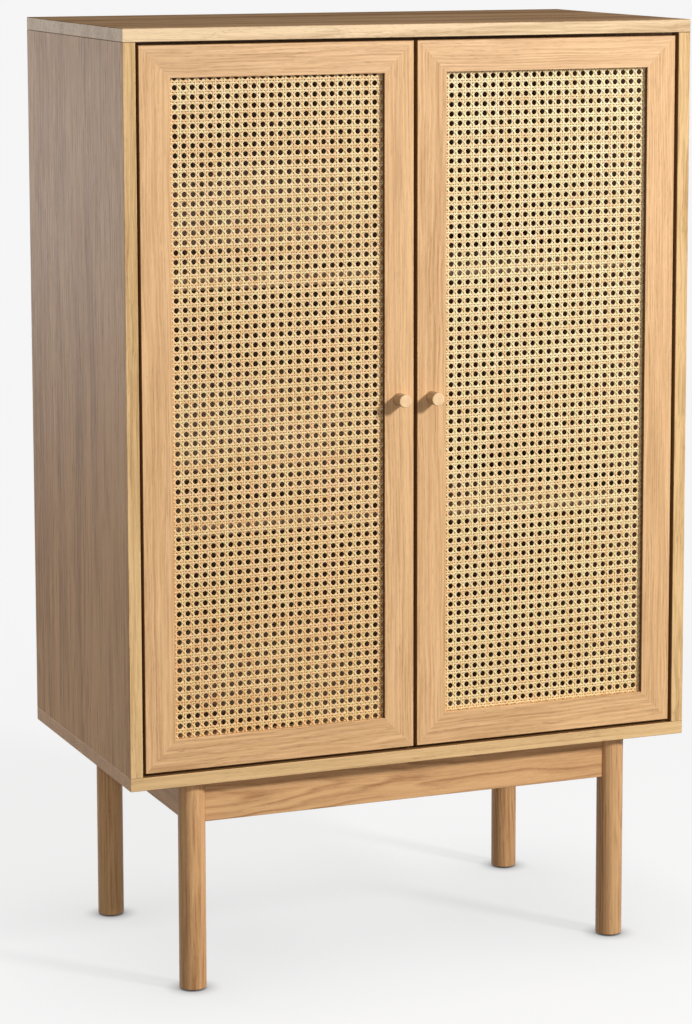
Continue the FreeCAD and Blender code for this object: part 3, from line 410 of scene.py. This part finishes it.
def finish_carcass():
    """Boards of the carcass; in front of the doors' backs the inside takes the painted shade of the door
    gaps.
    """
    door_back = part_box("left_top_rail")[1][1]
    painted_gap_shade = [(1, "LESS_THAN", door_back, GAP_PAINTED_SHADE_TONES)]
    # The right side's inside takes painted light.
    for name, way, seed, inside in (("left_side_panel", -1, 0.37, INSIDE_TONES),
                                    ("right_side_panel", 1, 1.42, shaded(INSIDE_TONES, RIGHT_INSIDE_PAINTED_LIGHT))):
        faces = painted_gap_shade + edge_faces(name, 1, EDGE_TONES)
        faces += outer_face(name, 0, way, SIDE_TONES) + edge_faces(name, 2, SEAM_TONES)
        finish_board(name, "z", inside, (0.0, -0.05), faces=faces, gloss=0.15, seed=seed, **SIDE_FIGURE)
    # The top: painted highlight on its front and back edges, painted sheen on its left end, painted shade on
    # its top face.
    faces = edge_faces("top_panel", 1, TOP_EDGE_PAINTED_HIGHLIGHT_TONES) + outer_face("top_panel", 0, 1, EDGE_TONES)
    faces += outer_face("top_panel", 0, -1, TOP_END_PAINTED_SHEEN_TONES) + outer_face("top_panel", 2, 1, TOP_FACE_PAINTED_SHADE_TONES)
    finish_board("top_panel", "x", INSIDE_TONES, (0.04, -0.06), faces=faces, gloss=0.2, seed=0.11,
                 matt_last=True, **TOP_FIGURE)
    faces = painted_gap_shade + edge_faces("bottom_panel", 1, EDGE_TONES) + edge_faces("bottom_panel", 0, SIDE_TONES)
    faces += outer_face("bottom_panel", 2, -1, SIDE_TONES)
    finish_board("bottom_panel", "x", INSIDE_TONES, (0.0, -0.07), ring=0.0045, faces=faces, seed=0.63)
    # The shelves and the back take painted shade.
    for index, name in enumerate(("upper_shelf", "lower_shelf")):
        finish_board(name, "x", SHELF_PAINTED_SHADE_TONES, (0.05, -0.08), ring=0.0045, seed=0.2 + index)
    finish_board("back_panel", "z", BACK_PAINTED_SHADE_TONES, (0.1, 0.06), ring=0.006, seed=1.7,
                 faces=outer_face("back_panel", 1, 1, SIDE_TONES))
    finish_board("carcass_dowels", "z", BEECH_TONES, (0.2, 0.1), ring=0.004, seed=0.6)


def finish_aprons():
    """The four rails of the base."""
    tones = shaded(BASE_TONES, APRON_SHADE)
    for index, name in enumerate(("front_apron", "rear_apron")):
        finish_board(name, "x", tones, (-0.02, 0.004), seed=0.9 + index, **LONG_APRON_FIGURE)
    for index, name in enumerate(("left_apron", "right_apron")):
        finish_board(name, "y", tones, (0.004, -0.03), seed=0.4 + index, **SHORT_APRON_FIGURE)


def finish_doors():
    """Stiles and rails with painted shade on their outer edges in the gaps, and painted shadow on the lips
    that face left beside the cane.
    """
    for index, side in enumerate(DOORS):
        sign = 1 if side == "left" else -1
        for member, grain, heart, edge in (
                ("hinge_stile", "z", (0.11 * sign, 0.03), (0, -sign)),
                ("meeting_stile", "z", (-0.1 * sign, 0.05), (0, sign)),
                ("top_rail", "x", (0.06, 0.10), (2, 1)),
                ("bottom_rail", "x", (0.05, -0.03), (2, -1))):
            name = side + "_" + member
            # The edge that lies in the gap round the door takes painted shade.
            faces = outer_face(name, *edge, GAP_PAINTED_SHADE_TONES)
            # These lips face away from the key and take painted shadow.
            if name in ("left_meeting_stile", "right_hinge_stile"):
                faces += outer_face(name, 0, -1, LIP_PAINTED_SHADOW_TONES)
            tones = RAIL_TONES if member == "top_rail" else DOOR_TONES
            finish_board(name, grain, tones, heart, faces=faces, seed=0.31 * index + 0.07 * len(member),
                         **DOOR_FIGURE)
        finish_board(side + "_cane_beads", "z", DOOR_TONES, (0.2, 0.1), seed=0.5 + index)
        finish_board(side + "_mitre_keys", "x", BEECH_TONES, (0.2, 0.1), ring=0.004, seed=0.8 + index)


def turned(name, axis, centre, outline, sides=TURNED_SIDES):
    """A turned mesh: an outline of (level along the axis, radius) is swept round the axis through centre."""
    made = bmesh.new()
    one, two = [letter for letter in range(3) if letter != axis]
    rings = []
    for along, radius in outline:
        ring = []
        for step in range(sides):
            angle = 2 * math.pi * step / sides
            point = list(centre)
            point[axis] = along
            point[one] += radius * math.cos(angle)
            point[two] += radius * math.sin(angle)
            ring.append(made.verts.new(point))
        rings.append(ring)
    for near, far in zip(rings, rings[1:]):
        for step in range(sides):
            other = (step + 1) % sides
            made.faces.new((near[step], near[other], far[other], far[step]))
    made.faces.new(rings[0])
    made.faces.new(rings[-1])
    bmesh.ops.recalc_face_normals(made, faces=made.faces[:])
    for face in made.faces:
        face.smooth = True
    mesh = bpy.data.meshes.new(name)
    made.to_mesh(mesh)
    made.free()
    mesh.set_sharp_from_angle(angle=TURNED_CREASE)
    return mesh


def eased(start, end, radius, ease, steps=4):
    """Outline of a cylinder whose start edge is rounded over by ease."""
    heading = 1 if end > start else -1
    outline = [(start, radius - ease * 1.6)]
    for step in range(steps + 1):
        angle = math.pi / 2 * step / steps
        along = start + heading * ease * (1 - math.cos(angle))
        outline.append((along, radius - ease * (1 - math.sin(angle))))
    outline.append((end, radius))
    return outline


def middle_of(low, high):
    return [(a + b) / 2 for a, b in zip(low, high)]


def make_legs():
    """Round legs with an eased foot."""
    for index, name in enumerate(LEGS):
        low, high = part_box(name)
        outline = eased(low[2], high[2], (high[0] - low[0]) / 2, LEG_EASE)
        mesh = turned(name + "_turned", 2, middle_of(low, high), outline)
        tones = shaded(BASE_TONES, LEG_SHADES[index])
        mesh.materials.append(oak(name, "z", tones, (0.012 - 0.02 * index, 0.02), seed=0.23 + 0.4 * index,
                                  **LEG_FIGURE))
        place(name + "_turned", mesh, "carcass", [name])


def make_knobs():
    """Turned knobs with an eased front edge, and sides darker than their paler end: painted shade."""
    for index, side in enumerate(DOORS):
        name = side + "_knob"
        low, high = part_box(name)
        outline = eased(low[1], high[1], (high[0] - low[0]) / 2, KNOB_EASE)
        mesh = turned(name + "_turned", 1, middle_of(low, high), outline)
        end = [(1, "LESS_THAN", low[1] + KNOB_EASE, KNOB_TONES)]
        # The sides take painted shade, the end its own tone.
        mesh.materials.append(oak(name, "y", shaded(KNOB_TONES, KNOB_SIDE_PAINTED_SHADE), (0.03, 0.02), faces=end,
                                  seed=0.3 + 0.5 * index, **KNOB_FIGURE))
        place(name + "_turned", mesh, side + "_door", [name])


def new_tree(name, inputs):
    """A Geometry Nodes tree with named inputs; returns it with its inputs' sockets and its output node."""
    tree = bpy.data.node_groups.new(name, "GeometryNodeTree")
    tree.interface.new_socket("Geometry", in_out="INPUT", socket_type="NodeSocketGeometry")
    for label, kind in inputs:
        tree.interface.new_socket(label, in_out="INPUT", socket_type="NodeSocket" + kind)
    tree.interface.new_socket("Geometry", in_out="OUTPUT", socket_type="NodeSocketGeometry")
    return tree, add(tree, "NodeGroupInput").outputs, add(tree, "NodeGroupOutput")


def finish_tree(tree, geometry, material, result):
    """The tree's end: instances made real, shaded smooth and given their material."""
    real = add(tree, "GeometryNodeRealizeInstances", {0: geometry}).outputs[0]
    real = add(tree, "GeometryNodeSetShadeSmooth", {0: real}).outputs[0]
    real = add(tree, "GeometryNodeSetMaterial", {"Geometry": real, "Material": material}).outputs[0]
    tree.links.new(real, result.inputs[0])
    return tree


def kept_on_points(tree, name, kind="FLOAT"):
    return add(tree, "GeometryNodeInputNamedAttribute", {"Name": name}, data_type=kind).outputs[0]


def grow(name, mesh, tree, settings):
    """The mesh that a tree makes from a source mesh, with the tree's inputs set by name."""
    maker = bpy.data.objects.new(name + "_source", mesh)
    scene.collection.objects.link(maker)
    modifier = maker.modifiers.new("grow", "NODES")
    modifier.node_group = tree
    for item in tree.interface.items_tree:
        if item.in_out == "INPUT" and item.name in settings:
            modifier[item.identifier] = settings[item.name]
    graph = bpy.context.evaluated_depsgraph_get()
    made = bpy.data.meshes.new_from_object(
        maker.evaluated_get(graph), preserve_all_data_layers=True, depsgraph=graph)
    made.name = name
    bpy.data.objects.remove(maker)
    return made


def weave_tree():
    """Strand lines become crowned cane strips that sway over and under one another."""
    tree, given, result = new_tree("woven_cane", (
        ("Width", "Float"), ("Thickness", "Float"), ("Front", "Vector"), ("Material", "Material")))
    turn = maths(tree, "MULTIPLY", kept_on_points(tree, "beat"), 2 * math.pi)
    wave = maths(tree, "MULTIPLY", maths(tree, "COSINE", turn), kept_on_points(tree, "sway"))
    offset = add(tree, "ShaderNodeCombineXYZ", {1: wave}).outputs[0]
    lines = add(tree, "GeometryNodeSetPosition", {"Geometry": given["Geometry"], "Offset": offset}).outputs[0]
    curves = add(tree, "GeometryNodeMeshToCurve", {0: lines}).outputs[0]
    curves = add(tree, "GeometryNodeSetCurveNormal", {"Curve": curves, "Normal": given["Front"]},
                 mode="FREE").outputs[0]
    ring = add(tree, "GeometryNodeCurvePrimitiveCircle",
               {"Resolution": STRAND_SIDES, "Radius": 0.5}).outputs[0]
    across = maths(tree, "DIVIDE", given["Width"], math.cos(math.pi / STRAND_SIDES))
    size = add(tree, "ShaderNodeCombineXYZ", {0: given["Thickness"], 1: across, 2: 1.0}).outputs[0]
    ring = add(tree, "GeometryNodeTransform", {"Geometry": ring, "Scale": size}).outputs[0]
    strips = add(tree, "GeometryNodeCurveToMesh",
                 {"Curve": curves, "Profile Curve": ring, "Fill Caps": True}).outputs[0]
    return finish_tree(tree, strips, given["Material"], result)


def strand_mesh(name, strands):
    """Poly lines with the beat, sway and tone of each strand kept on its points."""
    points, edges, beats, sways, tones = [], [], [], [], []
    for line, line_beats, sway, tone in strands:
        first = len(points)
        points += line
        beats += line_beats
        sways += [sway] * len(line)
        tones += [tone] * len(line)
        edges += [(first + step, first + step + 1) for step in range(len(line) - 1)]
    mesh = bpy.data.meshes.new(name)
    mesh.from_pydata(points, edges, [])
    for label, values in (("beat", beats), ("sway", sways), ("tone", tones)):
        mesh.attributes.new(label, "FLOAT", "POINT").data.foreach_set("value", values)
    return mesh


def cane_strands(side):
    """One door's weave on a quarter-pitch grid: paired uprights, paired crosses and single diagonals."""
    hinge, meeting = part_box(side + "_hinge_stile"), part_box(side + "_meeting_stile")
    left, right = (hinge[1][0], meeting[0][0]) if side == "left" else (meeting[1][0], hinge[0][0])
    below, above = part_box(side + "_bottom_rail")[1][2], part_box(side + "_top_rail")[0][2]
    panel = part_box(side + "_cane_panel")
    depth = (panel[0][1] + panel[1][1]) / 2
    zero_x, zero_z = FIRST_HOLE[side][0] + PITCH_ACROSS / 2, FIRST_HOLE[side][1] + PITCH_UP / 2
    grid = BEATS_PER_PITCH
    x_from = math.ceil((left - CANE_TUCK - zero_x) / PITCH_ACROSS * grid)
    x_to = math.floor((right + CANE_TUCK - zero_x) / PITCH_ACROSS * grid)
    z_from = math.ceil((below - CANE_TUCK - zero_z) / PITCH_UP * grid)
    z_to = math.floor((above + CANE_TUCK - zero_z) / PITCH_UP * grid)
    chance = random.Random("cane " + side)

    def at(x_step, z_step, x_more=0.0, z_more=0.0):
        return (zero_x + x_step * PITCH_ACROSS / grid + x_more, depth,
                zero_z + z_step * PITCH_UP / grid + z_more)

    uprights, crosses, diagonals = [], [], []
    for column in range(math.ceil(x_from / grid), x_to // grid + 1):
        for hand in (-1, 1):
            steps = range(z_from, z_to + 1)
            uprights.append(([at(column * grid, step, hand * PAIR_HALF) for step in steps],
                             [step / grid - 0.25 for step in steps], -hand * STRAND_SWAY, chance.random()))
    for row in range(math.ceil(z_from / grid), z_to // grid + 1):
        for hand in (-1, 1):
            steps = range(x_from, x_to + 1)
            crosses.append(([at(step, row * grid, 0.0, hand * PAIR_HALF) for step in steps],
                            [step / grid - 0.25 for step in steps], hand * STRAND_SWAY, chance.random()))
    half = grid // 2
    for slope, sway in ((-1, -DIAGONAL_SWAY), (1, DIAGONAL_SWAY)):
        lows = [z_from - slope * x for x in (x_from, x_to)]
        highs = [z_to - slope * x for x in (x_from, x_to)]
        first = math.ceil((min(lows) - half) / grid) * grid + half
        for level in range(first, max(highs), grid):
            steps = [x for x in range(x_from, x_to + 1) if z_from <= level + slope * x <= z_to]
            if len(steps) > 2:
                diagonals.append(([at(x, level + slope * x) for x in steps], [x / grid for x in steps],
                                  sway, chance.random()))
    return {"uprights": uprights, "crosses": crosses, "diagonals": diagonals}


def make_cane():
    """Both doors' woven panels."""
    tree = weave_tree()
    for side in DOORS:
        finish = cane_finish(side)
        for layer, strands in cane_strands(side).items():
            name = side + "_cane_" + layer
            mesh = grow(name, strand_mesh(name + "_lines", strands), tree, {
                "Width": DIAGONAL_WIDTH if layer == "diagonals" else STRAND_WIDTH,
                "Thickness": STRAND_THICK, "Front": (0.0, -1.0, 0.0), "Material": finish})
            place(name, mesh, side + "_door", [side + "_cane_panel"])


def fitting_tree():
    """A head with a cross recess on a shank, set on points and turned to each point's heading."""
    tree, given, result = new_tree("fittings", (
        ("Head Radius", "Float"), ("Head Height", "Float"), ("Shank Radius", "Float"),
        ("Shank Length", "Float"), ("Crown", "Float"), ("Material", "Material")))
    top = maths(tree, "MULTIPLY", given["Head Radius"], given["Crown"])
    head = add(tree, "GeometryNodeMeshCone", {
        "Vertices": HEAD_SIDES, "Radius Top": given["Head Radius"], "Radius Bottom": top,
        "Depth": given["Head Height"]}).outputs[0]
    for long, short in ((0, 1), (1, 0)):
        size = add(tree, "ShaderNodeCombineXYZ", {
            long: maths(tree, "MULTIPLY", given["Head Radius"], RECESS_LENGTH),
            short: maths(tree, "MULTIPLY", given["Head Radius"], RECESS_WIDTH),
            2: maths(tree, "MULTIPLY", given["Head Height"], RECESS_DEPTH)}).outputs[0]
        bar = add(tree, "GeometryNodeMeshCube", {"Size": size}).outputs[0]
        head = add(tree, "GeometryNodeMeshBoolean", {"Mesh 1": head, "Mesh 2": bar},
                   operation="DIFFERENCE").outputs[0]
    shank = add(tree, "GeometryNodeMeshCylinder", {
        "Vertices": SHANK_SIDES, "Radius": given["Shank Radius"], "Depth": given["Shank Length"]}).outputs[0]
    reach = maths(tree, "ADD", given["Head Height"], maths(tree, "MULTIPLY", given["Shank Length"], 0.5))
    move = add(tree, "ShaderNodeCombineXYZ", {2: reach}).outputs[0]
    shank = add(tree, "GeometryNodeTransform", {"Geometry": shank, "Translation": move}).outputs[0]
    whole = add(tree, "GeometryNodeJoinGeometry")
    tree.links.new(head, whole.inputs[0])
    tree.links.new(shank, whole.inputs[0])
    heading = kept_on_points(tree, "heading", "FLOAT_VECTOR")
    turn = add(tree, "FunctionNodeAlignRotationToVector", {"Vector": heading}, axis="Z").outputs[0]
    dots = add(tree, "GeometryNodeMeshToPoints", {0: given["Geometry"]}).outputs[0]
    set_out = add(tree, "GeometryNodeInstanceOnPoints", {
        "Points": dots, "Instance": whole.outputs[0], "Rotation": turn}).outputs[0]
    return finish_tree(tree, set_out, given["Material"], result)


def solids(name):
    """The corners of each separate solid of a CAD node."""
    made = bmesh.new()
    made.from_mesh(nodes[name].data)
    bmesh.ops.remove_doubles(made, verts=made.verts[:], dist=1e-6)
    found, left = [], set(made.verts)
    while left:
        reached, edge = set(), [left.pop()]
        while edge:
            vertex = edge.pop()
            reached.add(vertex)
            for link in vertex.link_edges:
                other = link.other_vert(vertex)
                if other in left:
                    left.discard(other)
                    edge.append(other)
        found.append(sorted(tuple(vertex.co) for vertex in reached))
    made.free()
    return sorted(found)


def box_of(corners):
    """Low and high corner of a solid."""
    return tuple([pick(corner[axis] for corner in corners) for axis in range(3)] for pick in (min, max))


def make_fittings(name, tree, material, body, heading, head_height=None, share=HEAD_SHARE,
                  crown=HEAD_CROWN):
    """All the screws or cams of a CAD node: heading gives the way from head to tip for each solid's box."""
    boxes = [box_of(corners) for corners in solids(name)]
    ways = [heading(low, high) for low, high in boxes]
    points = [[a if step > 0 else b if step < 0 else (a + b) / 2 for a, b, step in zip(low, high, way)]
              for (low, high), way in zip(boxes, ways)]
    low, high = boxes[-1]
    axis = [abs(step) for step in ways[-1]].index(1)
    radius = max(high[letter] - low[letter] for letter in range(3) if letter != axis) / 2
    height = head_height or radius / share
    mesh = bpy.data.meshes.new(name + "_points")
    mesh.from_pydata(points, [], [])
    mesh.attributes.new("heading", "FLOAT_VECTOR", "POINT").data.foreach_set(
        "vector", [step for way in ways for step in way])
    made = grow(name + "_turned", mesh, tree, {
        "Head Radius": radius, "Head Height": height, "Shank Radius": radius / share, "Crown": crown,
        "Shank Length": high[axis] - low[axis] - height, "Material": material})
    made.set_sharp_from_angle(angle=FITTING_CREASE)
    place(name + "_turned", made, body, [name])


def outward(low, high):
    """Driven from the middle of the cabinet towards a side."""
    return (1.0 if low[0] + high[0] > 0 else -1.0, 0.0, 0.0)


def forward(low, high):
    """Driven from behind."""
    return (0.0, -1.0, 0.0)


def into_base(low, high):
    """Driven up into the bottom panel, or from the middle into an apron."""
    if high[2] - low[2] > high[1] - low[1]:
        return (0.0, 0.0, 1.0)
    return (0.0, 1.0 if low[1] + high[1] > 0 else -1.0, 0.0)


def outline_of(corners, axis):
    """Outline of a stepped round solid: its corners' radii at each level, with both ends chamfered."""
    centre = middle_of(*box_of(corners))
    others = [letter for letter in range(3) if letter != axis]
    levels = {}
    for corner in corners:
        radius = math.hypot(*(corner[letter] - centre[letter] for letter in others))
        levels.setdefault(round(corner[axis], 5), set()).add(round(radius, 4))
    outline = []
    for level in sorted(levels):
        before = outline[-1][1] if outline else 0.0
        outline += [(level, radius) for radius in sorted(levels[level], key=lambda size: abs(size - before))]
    (first, start), (last, end) = outline[0], outline[-1]
    return ([(first, start - FITTING_CHAMFER), (first + FITTING_CHAMFER, start)] + outline[1:-1]
            + [(last - FITTING_CHAMFER, end), (last, end - FITTING_CHAMFER)])


def make_round(name, material, body, axis):
    """The stepped round solids of a CAD node, turned smooth and kept in one mesh."""
    whole = bmesh.new()
    for index, corners in enumerate(solids(name)):
        centre = middle_of(*box_of(corners))
        whole.from_mesh(turned(name + str(index), axis, centre, outline_of(corners, axis), FITTING_SIDES))
    mesh = bpy.data.meshes.new(name + "_turned")
    whole.to_mesh(mesh)
    whole.free()
    mesh.set_sharp_from_angle(angle=FITTING_CREASE)
    mesh.materials.append(material)
    place(name + "_turned", mesh, body, [name])


def finish_fittings():
    """Bent and stamped parts take a finish; screws, cams, pegs, glides and magnets are made round."""
    steel = metal("hinge_steel", (0.74, 0.72, 0.68), 0.24, 0.36)
    zinc = metal("zinc_steel", (0.66, 0.67, 0.68), 0.34, 0.5)
    plastic = moulded("black_plastic", (0.012, 0.012, 0.013), 0.5)
    for name in ("hinge_arms", "hinge_plates"):
        paint_node(name, steel)
    for name in ("base_brackets", "cam_bolts"):
        paint_node(name, zinc)
    make_round("leg_glides", plastic, "carcass", 2)
    make_round("shelf_pegs", zinc, "carcass", 0)
    make_round("catch_magnets", plastic, "carcass", 1)
    tree = fitting_tree()
    make_fittings("cam_locks", tree, zinc, "carcass", outward,
                  CAM_HEAD_HEIGHT, CAM_SHARE, CAM_CROWN)
    make_fittings("back_panel_screws", tree, zinc, "carcass", forward)
    make_fittings("base_bracket_screws", tree, zinc, "carcass", into_base)
    make_fittings("hinge_plate_screws", tree, steel, "carcass", outward)
    make_fittings("hinge_clamp_screws", tree, steel, "carcass", outward)
    for side in DOORS:
        body = side + "_door"
        for name in ("hinge_cups", "hinge_pins"):
            paint_node(side + "_" + name, steel)
        paint_node(side + "_striker_plate", zinc)
        make_fittings(side + "_knob_screw", tree, steel, body, forward)
        make_fittings(side + "_cup_screws", tree, steel, body, forward)
        make_fittings(side + "_striker_screws", tree, zinc, body, forward)


def seen(tree):
    """1 for the rays that show a background: from the camera, off gloss and through glass."""
    path = add(tree, "ShaderNodeLightPath").outputs
    either = maths(tree, "MAXIMUM", path["Is Camera Ray"], path["Is Glossy Ray"])
    return maths(tree, "MAXIMUM", either, path["Is Transmission Ray"])


def glow_shader(tree, strength):
    return add(tree, "ShaderNodeEmission", {"Color": WHITE, "Strength": strength}).outputs[0]


def make_floor():
    """A wide pale floor that keeps the cabinet's shadow near it, is even further off and clear from below."""
    mesh = bpy.data.meshes.new("floor")
    mesh.from_pydata(FLOOR_CORNERS, [], [(0, 1, 2)])
    floor = bpy.data.objects.new("floor", mesh)
    scene.collection.objects.link(floor)
    material, tree, shader = new_material("floor")
    tree.nodes.remove(shader)
    result = next(item for item in tree.nodes if item.type == "OUTPUT_MATERIAL")
    shown = seen(tree)
    glow = BACKGROUND - FLOOR_LIT
    for reach, depth in FLOOR_SHADES:
        open_share = add(tree, "ShaderNodeAmbientOcclusion", {"Distance": reach},
                         samples=SHADE_SAMPLES).outputs["AO"]
        covered = maths(tree, "SUBTRACT", 1.0, open_share)
        glow = maths(tree, "SUBTRACT", glow, maths(tree, "MULTIPLY", covered, depth))
    glow = maths(tree, "MAXIMUM", glow, LEAST_GLOW)
    matt = add(tree, "ShaderNodeBsdfDiffuse", {"Color": FLOOR_GREY}).outputs[0]
    near_glow = glow_shader(tree, maths(tree, "MULTIPLY", shown, glow))
    near = add(tree, "ShaderNodeAddShader", {0: matt, 1: near_glow}).outputs[0]
    even = glow_shader(tree, maths(tree, "MULTIPLY", shown, BACKGROUND))
    level = vectors(tree, "MULTIPLY", object_coordinates(tree), (1.0, 1.0, 0.0)).outputs[0]
    far = add(tree, "ShaderNodeMapRange", {
        0: vectors(tree, "LENGTH", level).outputs[1], 1: FADE_FROM, 2: FADE_TO},
        interpolation_type="SMOOTHSTEP").outputs[0]
    above = add(tree, "ShaderNodeMixShader", {0: far, 1: near, 2: even}).outputs[0]
    from_below = add(tree, "ShaderNodeNewGeometry").outputs["Backfacing"]
    clear = add(tree, "ShaderNodeBsdfTransparent").outputs[0]
    whole = add(tree, "ShaderNodeMixShader", {0: from_below, 1: above, 2: clear}).outputs[0]
    tree.links.new(whole, result.inputs["Surface"])
    floor.data.materials.append(material)


def make_world():
    """Even fill all round; the background shows as pale as the far floor."""
    world = bpy.data.worlds.new("studio")
    scene.world = world
    world.use_nodes = True
    tree = world.node_tree
    tree.nodes.clear()
    strength = add(tree, "ShaderNodeMapRange", {0: seen(tree), 3: FILL, 4: BACKGROUND}).outputs[0]
    back = add(tree, "ShaderNodeBackground", {"Color": WHITE, "Strength": strength}).outputs[0]
    add(tree, "ShaderNodeOutputWorld", {"Surface": back})


def lamp(name, power, width, spot, target):
    """A soft lamp that faces a target and is not itself in view."""
    light = bpy.data.lights.new(name, "AREA")
    light.energy = power
    light.shape = "DISK"
    light.size = width
    made = bpy.data.objects.new(name, light)
    scene.collection.objects.link(made)
    made.location = spot
    made.rotation_euler = (target - spot).to_track_quat("-Z", "Y").to_euler()
    made.visible_camera = False


def make_lights():
    """A key from the upper right, a weak fill from the viewpoint and one behind for the side's sheen."""
    target = Vector(LAMP_TARGET)
    lamp("key", KEY_POWER, KEY_WIDTH, target + Vector(KEY_WAY).normalized() * KEY_DISTANCE, target)
    lamp("fill", FRONT_POWER, FRONT_WIDTH, Vector(VIEWPOINT), target)
    lamp("side", SIDE_POWER, SIDE_WIDTH, Vector(SIDE_LAMP), Vector(SIDE_TARGET))


def make_camera():
    """The photograph's view: from the left of the front, a little above the middle."""
    lens = bpy.data.cameras.new("camera")
    lens.lens = LENS
    lens.sensor_width = SENSOR
    lens.shift_x, lens.shift_y = LENS_SHIFT
    lens.clip_end = FAR_CLIP
    camera = bpy.data.objects.new("camera", lens)
    scene.collection.objects.link(camera)
    camera.location = VIEWPOINT
    camera.rotation_euler = (math.radians(90.0 - VIEW_PITCH), 0.0, math.radians(-VIEW_YAW))
    scene.camera = camera


finish_carcass()
finish_aprons()
finish_doors()
make_legs()
make_knobs()
make_cane()
finish_fittings()
make_floor()
make_world()
make_lights()
make_camera()
scene.view_settings.view_transform = "Standard"
